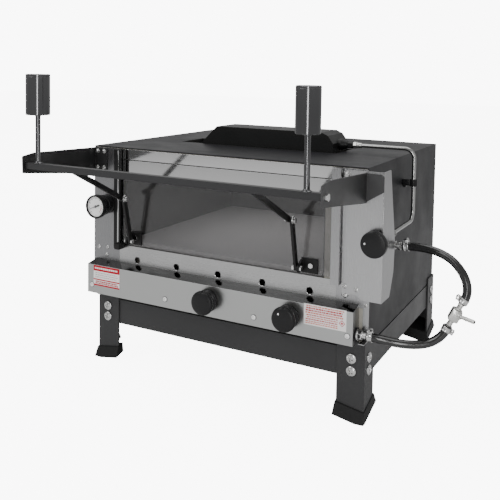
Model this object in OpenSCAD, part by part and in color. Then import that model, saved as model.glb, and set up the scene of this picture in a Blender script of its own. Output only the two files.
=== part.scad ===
// Countertop gas oven with a top burner and a counterweighted lift-up glass door.
// X runs to the oven's right, Y to its back, Z up. The origin lies on the surface
// that the stand's shoes rest on, under the middle of the casing.

/* [Casing] */
// outside width of the painted casing
casing_w = 614; // [560:1:680]
// outside depth of the painted casing
casing_d = 490; // [440:1:560]
// height of the casing's top above the standing surface
casing_top = 457; // [420:1:500]
// height of the stand's top, where the casing sits
stand_h = 130; // [100:1:160]
// thickness of the casing's sheet
sheet = 2; // [1:0.5:3]

/* [Baking chamber] */
// clear width of the chamber
chamber_w = 450; // [350:1:500]
// clear depth of the chamber
chamber_d = 450; // [350:1:480]
// height of the chamber's bottom
chamber_low = 250; // [230:1:270]
// height of the chamber's roof
chamber_high = 425; // [400:1:430]
// thickness of the baking slab
slab_t = 10; // [8:1:20]

/* [Lift door] */
// thickness of the door's glass
glass_t = 4; // [3:0.5:6]
// height of the glass's lower edge when shut
glass_low = 256; // [252:1:262]
// height of the glass's upper edge when shut
glass_high = 400; // [398:1:404]
// where the left link's left face is
link_left_x = -190; // [-195:1:-150]
// where the right link's left face is
link_right_x = 183; // [150:1:200]

/* [Lift frame] */
// side of the square cross bar
bar = 12; // [10:1:20]
// diameter of the left counterweight
left_weight_d = 45; // [30:1:50]
// diameter of the right counterweight
right_weight_d = 40; // [30:1:50]
// diameter of the counterweights' rods
rod_d = 10; // [8:1:14]
// distance of the counterweights from the middle
weight_x = 276; // [250:1:280]

/* [Controls] */
// diameter of the control knobs
knob_d = 47; // [40:1:60]
// diameter of the thermometer
dial_d = 50; // [40:1:60]

/* [Gas line] */
// outside diameter of the rubber gas hoses
hose_d = 15; // [12:1:18]
// outside diameter of the rigid burner tube
tube_d = 8; // [6:1:10]

/* [Stand] */
// width of the legs' flanges seen from the front
leg_w = 53; // [40:1:60]
// width of the legs' flanges seen from the side
leg_side = 50; // [40:1:60]
// thickness of the legs, rails and arms
plate = 3; // [2:0.5:5]
// height of the rails
rail_h = 52; // [40:1:60]
// width of the rails' top flanges
rail_flange = 50; // [30:1:60]

/* [Hidden] */
$fn = 48;

half_w = casing_w / 2;
half_d = casing_d / 2;
front = -half_d;
skin = 2;
skin_front = front - skin;
clear = 0.5;
wall = 1.5;
fit = 0.05;
far = 1000;

// the oven front's inner edges, between the two columns
left_in = -238;
right_in = 252;
// the door's edges, and how deep each guide holds them
door_left = -236;
door_right = 256;
guide_w = 16;
guide_hold = 10;
guide_low = 245;
sill_low = 150;
header_low = 398;
header_line = 432;

// the control box and what it holds
box_left = -300;
box_right = 296;
box_low = 146;
box_high = 207;
// the box's top rises towards the oven
box_back_high = 213;
box_front = -276;
knob_z = 178;
knob_xs = [0, 172];
burner_x = 110;
burner_z = 180;
spindle_r = 3;
pipe_y = -259;
pipe_z = 163;
pipe_r = 7;
hole_z = 222;
hole_step = 98;
hole_r = 6.5;

// the valve panel on the oven's right
panel_left = 264;
panel_right = 338;
panel_low = 222;
panel_high = 452;
panel_front = -251;
// the panel's side flange in the side view, [y, z]
panel_side = [[panel_front, panel_low], [-205, panel_low], [-184, 262], [-179, 315], [-213, panel_high],
    [panel_front, panel_high]];
side_x = 326;
side_z = 328;
side_r = 9;

// the top burner and its slot
slot = [[-200, -72], [180, 22]];
burner_left = -147;
burner_right = 170;
burner_front = -68;
burner_back = 18;
burner_y = -25;
burner_tube_z = 471;

// the thermometer
dial_x = -273;
dial_z = 333;
dial_front = -287;

// the lift linkage: bar pivot, elbow and door pivot, as [y, z]
pivot = [-444, 436.5];
elbow = [-297, 361];
door_pivot = [-276, 269.5];
link_r = 5;
link_t = 5;
crank_gap = 1;
pin_r = 2.5;
screw_z = 273;
door_screws = [link_left_x + 5, link_right_x + 25];
glass_y = -256.5;

// arms that carry the cross bar
arm_left = -306;
arm_right = 304;
arm_flange = 34;

// the stand is narrower than the casing and a little to its right
stand_mid = 9;
stand_half = 298;
leg_high = 145;
shoe_base = [60, 73];
shoe_top = 56;
shoe_h = 19;
// how wide and how deep the arms of a left shoe are, around the angle of its leg
shoe_arm = [15, 24];
// how far the legs end above the soles, how much the soles rise towards +X and +Y,
// and how deep their low corner is cut flat
leg_gap = 5;
sole_rise = [-0.178, 0.27];
sole_flat = 3;
sole_lift = (sole_rise[1] * shoe_base[1] - sole_rise[0] * shoe_base[0]) / 2 - sole_flat;

// the gas line outside the casing
tube_x = 328;
clip_z = 403;
inlet_y = -172;
inlet_z = 309;
tee = [459, -227, 218];
tee_dir = [0.43, 0.10, 0.90];
upper_route = [[351, -172, 309], [368, -173, 310.5], [388, -178, 312], [408, -185, 312], [427, -193, 309.5],
    [445, -200, 303], [460, -207, 292], [471, -213, 278], [476, -218, 263], [475, -222, 249],
    [469, -224.5, 238]];
lower_route = [[449, -229.5, 198], [443, -231.5, 185.5], [433, -234.5, 174], [419, -238, 165],
    [402, -242, 160], [383, -246, 158], [364, -250.5, 158.5], [346, -255.5, 161], [330, -259, 163],
    [316, -259, 163]];

// ---- helpers ----

module block(low, high) {
    translate(low)
        cube(high - low);
}

module rod_x(x1, x2, at, r) {
    translate([x1, at[0], at[1]])
        rotate([0, 90, 0])
            cylinder(h = x2 - x1, r = r);
}

module rod_y(y1, y2, x, z, r) {
    translate([x, y1, z])
        rotate([-90, 0, 0])
            cylinder(h = y2 - y1, r = r);
}

module hex_x(x1, x2, at, r) {
    translate([x1, at[0], at[1]])
        rotate([0, 90, 0])
            cylinder(h = x2 - x1, r = r, $fn = 6);
}

module hex_y(y1, y2, x, z, r) {
    translate([x, y1, z])
        rotate([-90, 30, 0])
            cylinder(h = y2 - y1, r = r, $fn = 6);
}

// a shape drawn in the side view, [y, z], made x1 to x2 thick
module side_plate(x1, x2) {
    translate([x1, 0, 0])
        rotate([90, 0, 90])
            linear_extrude(height = x2 - x1)
                children();
}

function unit(v) = v / norm(v);
function along(route, i) =
    unit(route[min(i + 1, len(route) - 1)] - route[max(i - 1, 0)]);
function side_of(d) = unit(cross(d, [0, 1, 0.2]));

// a tube of n sides swept along a route
module swept(route, r, n = 10) {
    rings = [for (i = [0 : len(route) - 1])
        let (d = along(route, i), s = side_of(d), u = cross(d, s))
        for (k = [0 : n - 1]) route[i] + r * (cos(360 * k / n) * s + sin(360 * k / n) * u)];
    last = (len(route) - 1) * n;
    walls = [for (i = [0 : len(route) - 2]) for (k = [0 : n - 1])
        [i * n + k, i * n + (k + 1) % n, (i + 1) * n + (k + 1) % n, (i + 1) * n + k]];
    polyhedron(points = rings, convexity = 6, faces = concat(walls,
        [[for (k = [n - 1 : -1 : 0]) k]], [[for (k = [0 : n - 1]) last + k]]));
}

// a round bar between two points
module strut(a, b, r) {
    d = b - a;
    translate(a)
        rotate([0, acos(d[2] / norm(d)), atan2(d[1], d[0])])
            cylinder(h = norm(d), r = r);
}

// ---- casing and chamber ----

module outer_casing() {
    color([0.27, 0.27, 0.28])
        difference() {
            union() {
                block([-half_w, front, stand_h + plate], [half_w, half_d, casing_top]);
                block([-half_w + 4, front + 4, stand_h], [half_w - 4, half_d - 4, stand_h + 10]);
            }
            block([-half_w + sheet, front - 1, stand_h + plate + sheet],
                [half_w - sheet, half_d - sheet, casing_top - sheet]);
            block([slot[0][0], slot[0][1], casing_top - 10], [slot[1][0], slot[1][1], casing_top + 1]);
        }
}

module inner_chamber() {
    color([0.62, 0.62, 0.63])
        difference() {
            block([-chamber_w / 2 - sheet, front + sheet, chamber_low - sheet],
                [chamber_w / 2 + sheet, front + chamber_d + 4, chamber_high + sheet]);
            block([-chamber_w / 2, front - 1, chamber_low],
                [chamber_w / 2, front + chamber_d + sheet, chamber_high]);
            block([burner_left + 7, burner_front + 7, chamber_high - 1],
                [burner_right - 7, burner_back - 7, chamber_high + sheet + 1]);
        }
}

module insulation() {
    color([0.93, 0.92, 0.88])
        difference() {
            block([-half_w + sheet, front + sheet, stand_h + plate + sheet],
                [half_w - sheet, half_d - sheet, casing_top - sheet]);
            block([-chamber_w / 2 - sheet, front - 1, chamber_low - sheet],
                [chamber_w / 2 + sheet, front + chamber_d + 4, chamber_high + sheet]);
            block([-215, front - 1, stand_h], [215, 200, chamber_low]);
            block([slot[0][0], slot[0][1], chamber_high], [slot[1][0], slot[1][1], casing_top]);
            rod_y(front, -198, dial_x, dial_z, 3.6);
        }
}

module baking_slab() {
    color([0.80, 0.74, 0.64])
        block([-chamber_w / 2 + 3, front + 6, chamber_low],
            [chamber_w / 2 - 3, front + chamber_d - 2, chamber_low + slab_t]);
}

module front_header() {
    color([0.75, 0.75, 0.76])
        difference() {
            block([left_in, skin_front, header_low], [right_in, front, casing_top - 3]);
            block([left_in - 1, skin_front - 1, header_line - 1],
                [right_in + 1, skin_front + 1.2, header_line + 1]);
        }
}

module left_column() {
    color([0.72, 0.72, 0.73])
        difference() {
            block([-half_w, skin_front, box_high], [left_in, front, casing_top - 3]);
            rod_y(skin_front - 1, front + 1, dial_x, dial_z, 3.6);
        }
}

module right_column() {
    color([0.72, 0.72, 0.73])
        block([right_in, skin_front, box_high], [half_w, front, casing_top - 3]);
}

module sill_plate() {
    color([0.75, 0.75, 0.76])
        difference() {
            union() {
                block([left_in, skin_front, box_high], [right_in, front, chamber_low]);
                block([box_left, skin_front, sill_low], [box_right, front, box_high]);
            }
            for (i = [-2 : 2])
                rod_y(skin_front - 1, front + 1, 5 + i * hole_step, hole_z, hole_r);
            for (side = [-1, 1])
                rod_y(skin_front - 1, front + 1, side * burner_x, burner_z, 8);
        }
}

// a channel from x outwards whose slot holds one edge of the glass; side is -1 for the left one
module guide(x, side) {
    slot_y = glass_y - clear;
    translate([x, 0, 0])
        mirror([side < 0 ? 1 : 0, 0, 0])
            difference() {
                block([0, skin_front - 15, guide_low], [guide_w, skin_front, casing_top - 3]);
                block([-1, slot_y, guide_low - 1],
                    [guide_hold + 1, slot_y + glass_t + 2 * clear, casing_top]);
            }
}

module left_guide() {
    color([0.10, 0.10, 0.11])
        guide(door_left + guide_hold, -1);
}

module right_guide() {
    color([0.70, 0.70, 0.71])
        guide(door_right - guide_hold, 1);
}

// ---- side valve panel and control box ----

module valve_panel() {
    color([0.74, 0.74, 0.75])
        difference() {
            union() {
                block([panel_left, panel_front, panel_low], [panel_right, panel_front + skin, panel_high]);
                block([panel_left, panel_front, panel_low], [panel_left + skin, skin_front, panel_high]);
                side_plate(panel_right - skin, panel_right)
                    polygon(panel_side);
            }
            rod_y(panel_front - 1, panel_front + 3, side_x, side_z, 8);
            translate([panel_left + 22, 0, panel_low])
                scale([1.3, 1, 0.8])
                    rod_y(panel_front - 1, panel_front + 3, 0, 0, 10);
        }
}

// the control box in the side view
module box_outline() {
    polygon([[box_front, box_low], [skin_front, box_low], [skin_front, box_back_high],
        [box_front, box_high]]);
}

module control_box() {
    color([0.76, 0.76, 0.77])
        difference() {
            side_plate(box_left, box_right)
                box_outline();
            side_plate(box_left + wall, box_right - wall) {
                offset(delta = -wall)
                    box_outline();
                translate([skin_front - 2 * wall, box_low + wall])
                    square([3 * wall, box_back_high - box_low - 2 * wall]);
            }
            for (x = knob_xs)
                rod_y(box_front - 1, box_front + 3, x, knob_z, 7);
            rod_x(box_right - 3, box_right + 1, [pipe_y, pipe_z], pipe_r + 1);
        }
}

module hose_strap() {
    color([0.70, 0.70, 0.71])
        difference() {
            union() {
                block([304, skin_front - 1.5, 150], [315, skin_front, panel_low + 6]);
                block([304, pipe_y - 12, 150], [315, skin_front, 151.5]);
            }
            rod_y(skin_front - 3, skin_front + 1, 309.5, 214, 2.2);
        }
}

// ---- stand ----

module rail_along_x(back) {
    translate([stand_mid, 0, 0])
        mirror([0, back, 0]) {
            block([-stand_half, front, stand_h - rail_h], [stand_half, front + plate, stand_h]);
            block([-stand_half, front, stand_h - plate], [stand_half, front + rail_flange, stand_h]);
        }
}

module rail_along_y(left) {
    translate([stand_mid, 0, 0])
        mirror([left, 0, 0]) {
            block([stand_half - plate, front + plate, stand_h - rail_h],
                [stand_half, half_d - plate, stand_h - plate]);
            block([stand_half - rail_flange, front + rail_flange, stand_h - plate],
                [stand_half, half_d - rail_flange, stand_h]);
        }
}

module front_rail() {
    color([0.30, 0.30, 0.31])
        rail_along_x(0);
}

module rear_rail() {
    color([0.30, 0.30, 0.31])
        rail_along_x(1);
}

module left_rail() {
    color([0.30, 0.30, 0.31])
        rail_along_y(1);
}

module right_rail() {
    color([0.30, 0.30, 0.31])
        rail_along_y(0);
}

// a frame on a foot's sole, which is low at its near outer corner
module on_sole(back) {
    middle_y = (half_d + plate - leg_side / 2) * (back == 1 ? 1 : -1);
    translate([stand_half + plate - leg_w / 2, middle_y, sole_lift])
        multmatrix([[1, 0, 0, 0], [0, 1, 0, 0], [sole_rise[0], sole_rise[1], 1, 0], [0, 0, 0, 1]])
            children();
}

// an angle around the stand's corner; on the left its side stops under the casing
module leg(left, back) {
    side_high = left == 1 ? stand_h : leg_high;
    color([0.33, 0.33, 0.34])
        translate([stand_mid, 0, 0])
            mirror([left, 0, 0])
                intersection() {
                    mirror([0, back, 0]) {
                        block([stand_half + plate - leg_w, front - plate, 0],
                            [stand_half + plate, front, leg_high]);
                        block([stand_half, front - plate, 0],
                            [stand_half + plate, front - plate + leg_side, side_high]);
                    }
                    on_sole(back)
                        translate([0, 0, leg_gap])
                            linear_extrude(height = far)
                                square(far, center = true);
                }
}

module leg_front_left() {
    leg(1, 0);
}

module leg_front_right() {
    leg(0, 0);
}

module leg_rear_left() {
    leg(1, 1);
}

module leg_rear_right() {
    leg(0, 1);
}

// a flared rubber shoe under a leg; its sole touches the ground near its low corner
module shoe(left, back) {
    color([0.07, 0.07, 0.07])
        difference() {
            translate([stand_mid, 0, 0])
                mirror([left, 0, 0])
                    intersection() {
                        on_sole(back)
                            linear_extrude(height = shoe_h,
                                scale = [shoe_top / shoe_base[0], shoe_top / shoe_base[1]])
                                square(shoe_base, center = true);
                        block([0, -far, 0], [far, far, far]);
                    }
            if (left == 1)
                translate([stand_mid, 0, 0])
                    mirror([1, 0, 0])
                        on_sole(back)
                            mirror([0, back, 0])
                                block([-far, shoe_arm[1] - shoe_base[1] / 2, -far],
                                    [shoe_base[0] / 2 - shoe_arm[0], far, far]);
            leg(left, back);
        }
}

module shoe_front_left() {
    shoe(1, 0);
}

module shoe_front_right() {
    shoe(0, 0);
}

module shoe_rear_left() {
    shoe(1, 1);
}

module shoe_rear_right() {
    shoe(0, 1);
}

// a low pan head on a face that looks to -Y, at the origin
module pan_head() {
    rotate([90, 0, 0]) {
        cylinder(h = 2, r = 9.5);
        translate([0, 0, 2])
            cylinder(h = 2.5, r1 = 9.5, r2 = 6);
    }
}

module leg_bolts() {
    color([0.78, 0.78, 0.78])
        translate([stand_mid, 0, 0])
            for (left = [0, 1], back = [0, 1], z = [90, 113])
                mirror([left, 0, 0])
                    mirror([0, back, 0]) {
                        translate([stand_half - 22, front - plate, z])
                            pan_head();
                        translate([stand_half + plate, front + 18, z])
                            rotate([0, 0, 90])
                                pan_head();
                    }
}

// ---- screws ----

module screw_front(x, y, z, r = 3.5) {
    translate([x, y, z])
        rotate([90, 0, 0])
            cylinder(h = 2, r1 = r, r2 = r * 0.7);
}

module panel_screws() {
    color([0.85, 0.85, 0.85]) {
        for (x = [-288, -100, 101, 286])
            screw_front(x, box_front, pipe_z, 4);
        for (at = [[-293, 238], [-270, 240], [-272, 223]])
            screw_front(at[0], skin_front, at[1]);
        for (at = [[270, 243], [292, 240], [271, 226]])
            screw_front(at[0], panel_front, at[1]);
        screw_front(309.5, skin_front - 1.5, 214);
        for (x = [-296, -279], z = [412, 446])
            hex_y(skin_front - plate - 4, skin_front - plate, x, z, 5);
        hex_y(panel_front - 4, panel_front, panel_left + 6.5, 443, 5);
    }
}

// ---- thermometer ----

module thermometer_case() {
    color([0.05, 0.05, 0.05]) {
        difference() {
            union() {
                rod_y(dial_front, dial_front + 12, dial_x, dial_z, dial_d / 2);
                rod_y(dial_front + 12, skin_front, dial_x, dial_z, dial_d / 2 - 4.5);
            }
            rod_y(dial_front - 1, dial_front + 5, dial_x, dial_z, dial_d / 2 - 2.5);
        }
        rod_y(skin_front, -200, dial_x, dial_z, 3);
    }
}

module thermometer_dial() {
    color([0.95, 0.95, 0.93])
        difference() {
            rod_y(dial_front + 4, dial_front + 5, dial_x, dial_z, dial_d / 2 - 2.6);
            rod_y(dial_front + 3, dial_front + 6, dial_x, dial_z, 1 + fit);
        }
}

module thermometer_needle() {
    color([0.05, 0.05, 0.05]) {
        rod_y(dial_front + 2.6, dial_front + 3.6, dial_x, dial_z, 3);
        translate([dial_x, dial_front + 2.8, dial_z])
            rotate([0, 158, 0]) {
                block([-11, 0, -1.6], [0, 0.6, 1.6]);
                block([-1, 0, -0.6], [18, 0.6, 0.6]);
            }
        rod_y(dial_front + 3.6, dial_front + 4.9, dial_x, dial_z, 1);
    }
}

// ---- gas controls ----

module front_valves() {
    color([0.76, 0.62, 0.32])
        for (i = [0, 1]) {
            x = knob_xs[i];
            outlet_x = i == 0 ? -burner_x : burner_x;
            rod_y(box_front + 4, -251, x, knob_z, 9);
            rod_y(-294, box_front + 5, x, knob_z, spindle_r);
            rod_x(min(x, outlet_x), max(x, outlet_x), [-255, burner_z], 3.5);
            rod_y(-258.5, -242, outlet_x, burner_z, 3.5);
        }
}

module gas_manifold() {
    color([0.55, 0.55, 0.56])
        difference() {
            union() {
                rod_x(-60, 316, [pipe_y, pipe_z], pipe_r - 1);
                rod_x(box_right, box_right + 6, [pipe_y, pipe_z], 10);
                hex_x(box_right + 6, box_right + 12, [pipe_y, pipe_z], 9);
            }
            for (x = knob_xs)
                rod_y(box_front + 3, -250, x, knob_z, 9);
        }
}

// a round knob that turns on a spindle along Y; its grip has a pointer rib
module knob(x, z, back, depth) {
    front_y = back - depth;
    difference() {
        union() {
            rod_y(front_y + 2, front_y + depth * 0.6, x, z, knob_d / 2);
            translate([x, front_y + 2, z])
                rotate([90, 0, 0])
                    cylinder(h = 2, r1 = knob_d / 2, r2 = knob_d / 2 - 2);
            rod_y(front_y + depth * 0.6, back, x, z, knob_d / 2 - 8);
            block([x - 1.5, front_y + 1, z + knob_d / 2 - 2],
                [x + 1.5, front_y + depth * 0.6, z + knob_d / 2 + 1.5]);
        }
        rod_y(back - depth * 0.7, back + 1, x, z, spindle_r + fit);
    }
}

module front_knob_middle() {
    color([0.06, 0.06, 0.06])
        knob(knob_xs[0], knob_z, box_front - 2, 25);
}

module front_knob_right() {
    color([0.06, 0.06, 0.06])
        knob(knob_xs[1], knob_z, box_front - 2, 25);
}

module side_valve() {
    color([0.76, 0.62, 0.32]) {
        rod_y(panel_front + skin, -166, side_x, side_z, side_r);
        rod_y(panel_front - 14, panel_front + skin, side_x, side_z, spindle_r);
        difference() {
            translate([side_x, inlet_y, inlet_z])
                cylinder(h = side_z - inlet_z, r = 6);
            rod_y(-260, -160, side_x, side_z, side_r);
        }
        rod_x(side_x + 5, upper_route[0][0], [inlet_y, inlet_z], 5);
    }
}

module side_knob() {
    color([0.06, 0.06, 0.06])
        translate([side_x, 0, side_z])
            rotate([0, 20, 0])
                translate([-side_x, 0, -side_z])
                    knob(side_x, side_z, panel_front - 2, 18);
}

// ---- burners ----

module floor_burners() {
    color([0.60, 0.60, 0.61])
        for (side = [-1, 1])
            difference() {
                rod_y(-241, 200, side * burner_x, burner_z, 14);
                rod_y(-242, 196, side * burner_x, burner_z, 12.5);
                for (y = [-180 : 20 : 180])
                    translate([side * burner_x, y, burner_z])
                        cylinder(h = 20, r = 2, $fn = 16);
            }
}

module top_burner_housing() {
    roof = casing_top + 40;
    color([0.09, 0.09, 0.10])
        difference() {
            translate([0, burner_back, 0])
                rotate([90, 0, 0])
                    linear_extrude(height = burner_back - burner_front)
                        polygon([[burner_left, chamber_high + sheet], [burner_right, chamber_high + sheet],
                            [burner_right, roof - 22], [burner_right - 12, roof - 6],
                            [burner_right - 26, roof], [burner_left + 38, roof],
                            [burner_left, casing_top + 2]]);
            translate([0, burner_back - sheet, 0])
                rotate([90, 0, 0])
                    linear_extrude(height = burner_back - burner_front - 2 * sheet)
                        polygon([[burner_left + sheet, 0], [burner_right - sheet, 0],
                            [burner_right - sheet, roof - 24], [burner_right - 28, roof - sheet],
                            [burner_left + 39, roof - sheet], [burner_left + sheet, casing_top + 2]]);
            rod_x(burner_right - 31, burner_right + 1, [burner_y, burner_tube_z], 12 + fit);
        }
}

module burner_plaque() {
    color([0.90, 0.86, 0.78])
        block([burner_left + sheet, burner_front + sheet, chamber_high + sheet],
            [burner_right - sheet, burner_back - sheet, chamber_high + sheet + 13]);
}

module burner_venturi() {
    color([0.12, 0.12, 0.13]) {
        rod_x(burner_right - 30, burner_right + 4, [burner_y, burner_tube_z], 12);
        translate([burner_right + 4, burner_y, burner_tube_z])
            rotate([0, 90, 0])
                cylinder(h = 14, r1 = 12, r2 = 7);
        hex_x(burner_right + 18, burner_right + 30, [burner_y, burner_tube_z], 7.5);
    }
}

// ---- gas line ----

// the rigid tube: over the top, down the side and forward to the side valve
module gas_tube() {
    r = tube_d / 2;
    bend = 20;
    start_x = burner_right + 30;
    low_z = side_z;
    color([0.80, 0.80, 0.80]) {
        rod_x(start_x, tube_x - bend, [burner_y, burner_tube_z], r);
        translate([tube_x - bend, burner_y, burner_tube_z - bend])
            rotate([90, 0, 0])
                rotate_extrude(angle = 90)
                    translate([bend, 0])
                        circle(r = r);
        translate([tube_x, burner_y, low_z + bend])
            cylinder(h = burner_tube_z - low_z - 2 * bend, r = r);
        translate([tube_x, burner_y - bend, low_z + bend])
            rotate([0, 90, 0])
                rotate_extrude(angle = 90)
                    translate([bend, 0])
                        circle(r = r);
        rod_y(-166, burner_y - bend, tube_x, low_z, r);
    }
}

module tube_clip() {
    color([0.10, 0.10, 0.10])
        difference() {
            union() {
                rod_x(half_w, tube_x - 4, [burner_y, clip_z], 5);
                translate([tube_x, burner_y, clip_z - 7])
                    cylinder(h = 14, r = 8);
            }
            translate([tube_x, burner_y, clip_z - 8])
                cylinder(h = 16, r = tube_d / 2);
        }
}

module hose_upper() {
    color([0.05, 0.05, 0.05])
        swept(upper_route, hose_d / 2);
}

module hose_lower() {
    color([0.05, 0.05, 0.05])
        swept(lower_route, hose_d / 2);
}

// a tee of two hose ends and an open inlet tail on a collar
module tee_fitting() {
    u = unit(tee_dir);
    top = upper_route[len(upper_route) - 1];
    low = lower_route[0];
    tip = [494, -242, 216];
    out = unit(tip - tee);
    color([0.78, 0.78, 0.76]) {
        strut(tee - 9 * u, tee + 9 * u, 9);
        strut(tee + 9 * u, top, 5);
        strut(low, tee - 9 * u, 5);
        strut(tee, tee + 11 * out, 5.5);
        strut(tee + 11 * out, tip, 3.5);
    }
}

module clamp_at(route, i, j) {
    d = unit(route[j] - route[i]);
    s = side_of(d);
    mid = route[i] + 0.45 * (route[j] - route[i]);
    screw = mid + (hose_d / 2 + 3) * s;
    difference() {
        union() {
            strut(mid - 4 * d, mid + 4 * d, hose_d / 2 + 1.4);
            strut(screw - 6 * cross(d, s), screw + 6 * cross(d, s), 3);
        }
        strut(mid - 6 * d, mid + 6 * d, hose_d / 2 + 0.3);
    }
}

module hose_clamps() {
    last = len(upper_route) - 1;
    end = len(lower_route) - 1;
    color([0.80, 0.80, 0.78]) {
        clamp_at(upper_route, 0, 1);
        clamp_at(upper_route, last, last - 1);
        clamp_at(lower_route, 0, 1);
        clamp_at(lower_route, end, end - 1);
    }
}

// ---- fixed arms ----

// an arm: a side plate with a square nose and a flange against the oven's front;
// the flange's lower edge runs from foot_low to side_low
module arm(x, face, foot_low, side_low, high) {
    difference() {
        union() {
            side_plate(x, x + plate)
                offset(r = 3)
                    offset(delta = -3)
                        polygon([[face + 8, 395], [face + 8, high], [-425, 459], [-456, 455], [-455, 422]]);
            translate([0, face, 0])
                rotate([90, 0, 0])
                    linear_extrude(height = plate)
                        polygon([[x, foot_low], [x + arm_flange, side_low], [x + arm_flange, high - 5],
                            [x + arm_flange - 4, high - 1], [x, high]]);
        }
        block([x - 1, face, 300], [x + plate + 1, face + 20, 500]);
        rod_x(x - 1, x + plate + 1, pivot, 5 + fit);
    }
}

module left_arm() {
    color([0.16, 0.16, 0.17])
        arm(arm_left, skin_front, 397, 402, 453);
}

module right_arm() {
    color([0.24, 0.24, 0.25])
        arm(arm_right, panel_front, 397, 418, 449);
}

// ---- lift frame ----

module cross_bar() {
    color([0.25, 0.25, 0.26])
        difference() {
            block([arm_left + plate + clear, pivot[0] - bar / 2, pivot[1] - bar / 2],
                [arm_right - clear, pivot[0] + bar / 2, pivot[1] + bar / 2]);
            for (end = [arm_left + plate, arm_right - 20])
                rod_x(end - 1, end + 21, pivot, 4);
        }
}

module counterweight(side, d, low, high) {
    foot = pivot[1] + bar / 2;
    translate([side * weight_x, pivot[0], 0]) {
        translate([0, 0, foot])
            cylinder(h = low - foot, r = rod_d / 2);
        translate([0, 0, low])
            cylinder(h = high - low - 2, r = d / 2);
        translate([0, 0, high - 2])
            cylinder(h = 2, r1 = d / 2, r2 = d / 2 - 2);
    }
}

module counterweight_left() {
    color([0.20, 0.20, 0.21])
        counterweight(-1, left_weight_d, 534, 611);
}

module counterweight_right() {
    color([0.20, 0.20, 0.21])
        counterweight(1, right_weight_d, 530, 604);
}

// a flat bar with round ends in the side view
module flat_link(x, a, b, r) {
    side_plate(x, x + link_t)
        hull() {
            translate(a)
                circle(r = r);
            translate(b)
                circle(r = r);
        }
}

// a crank beside the link whose left face is at x
module crank(x) {
    back = x - crank_gap - link_t;
    difference() {
        flat_link(back, pivot, elbow, link_r);
        block([back - 1, pivot[0] - bar / 2 - link_r, pivot[1] - bar],
            [x, pivot[0] + bar / 2, pivot[1] + bar]);
        rod_x(back - 1, x, elbow, pin_r);
    }
}

module crank_left() {
    color([0.10, 0.10, 0.10])
        crank(link_left_x);
}

module crank_right() {
    color([0.10, 0.10, 0.10])
        crank(link_right_x);
}

// a link with the elbow bolt's head on its right face
module link(x) {
    difference() {
        flat_link(x, elbow, door_pivot, link_r);
        rod_x(x - 1, x + link_t + 1, door_pivot, pin_r + fit);
    }
    hex_x(x + link_t, x + link_t + 4.5, elbow, 5.5);
}

module link_left() {
    color([0.10, 0.10, 0.10])
        link(link_left_x);
}

module link_right() {
    color([0.10, 0.10, 0.10])
        link(link_right_x);
}

// the bar's end bolts turn in the arms; the elbow bolts' nuts are on the cranks
module pivot_bolts() {
    color([0.80, 0.80, 0.80]) {
        rod_x(arm_left - 0.3, arm_left + plate + clear, pivot, 5);
        rod_x(arm_left + plate + clear, arm_left + 20, pivot, 4);
        hex_x(arm_left - 5.3, arm_left - 0.3, pivot, 6.5);
        rod_x(arm_right - clear, arm_right + plate + 0.3, pivot, 5);
        rod_x(arm_right - 16, arm_right - clear, pivot, 4);
        hex_x(arm_right + plate + 0.3, arm_right + plate + 5.3, pivot, 6.5);
        for (x = [link_left_x, link_right_x]) {
            rod_x(x - 7, x - crank_gap, elbow, pin_r);
            hex_x(x - 11, x - 6, elbow, 5.5);
        }
    }
}

// ---- door ----

module door_glass() {
    color([0.20, 0.20, 0.21, 0.5])
        difference() {
            block([door_left, glass_y, glass_low], [door_right, glass_y + glass_t, glass_high]);
            for (x = door_screws)
                rod_y(glass_y - 1, glass_y + glass_t + 1, x, screw_z, 3.2);
        }
}

// a bracket on the glass from x to x + w; its ear is at x, its screw at screw_x
module door_bracket(x, w, screw_x) {
    difference() {
        union() {
            block([x, glass_y - 4, 259], [x + w, glass_y, 286]);
            side_plate(x, x + 4)
                hull() {
                    translate(door_pivot)
                        circle(r = 7);
                    translate([glass_y - 3, 261])
                        square([2, 24]);
                }
        }
        rod_x(x - 1, x + 5, door_pivot, pin_r);
        rod_y(glass_y - 10, glass_y + 1, screw_x, screw_z, 3);
    }
}

module door_bracket_left() {
    color([0.08, 0.08, 0.08])
        door_bracket(link_left_x - 6, 24, door_screws[0]);
}

module door_bracket_right() {
    color([0.08, 0.08, 0.08])
        door_bracket(link_right_x + 6, 32, door_screws[1]);
}

// pins that carry the links on the ears, and the screws through the glass
module door_pins() {
    color([0.82, 0.82, 0.82]) {
        rod_x(link_left_x - 6, link_left_x + link_t + 0.5, door_pivot, pin_r);
        hex_x(link_left_x + link_t + 0.3, link_left_x + link_t + 4.5, door_pivot, 5);
        hex_x(link_left_x - 10, link_left_x - 6, door_pivot, 5);
        rod_x(link_right_x - 0.5, link_right_x + 10, door_pivot, pin_r);
        hex_x(link_right_x - 4.5, link_right_x - 0.3, door_pivot, 5);
        hex_x(link_right_x + 10, link_right_x + 14, door_pivot, 5);
        for (x = door_screws) {
            rod_y(glass_y - 5, glass_y + glass_t + 1, x, screw_z, 3);
            hex_y(glass_y - 7, glass_y - 4, x, screw_z, 5);
        }
    }
}

// which node to draw

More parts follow.
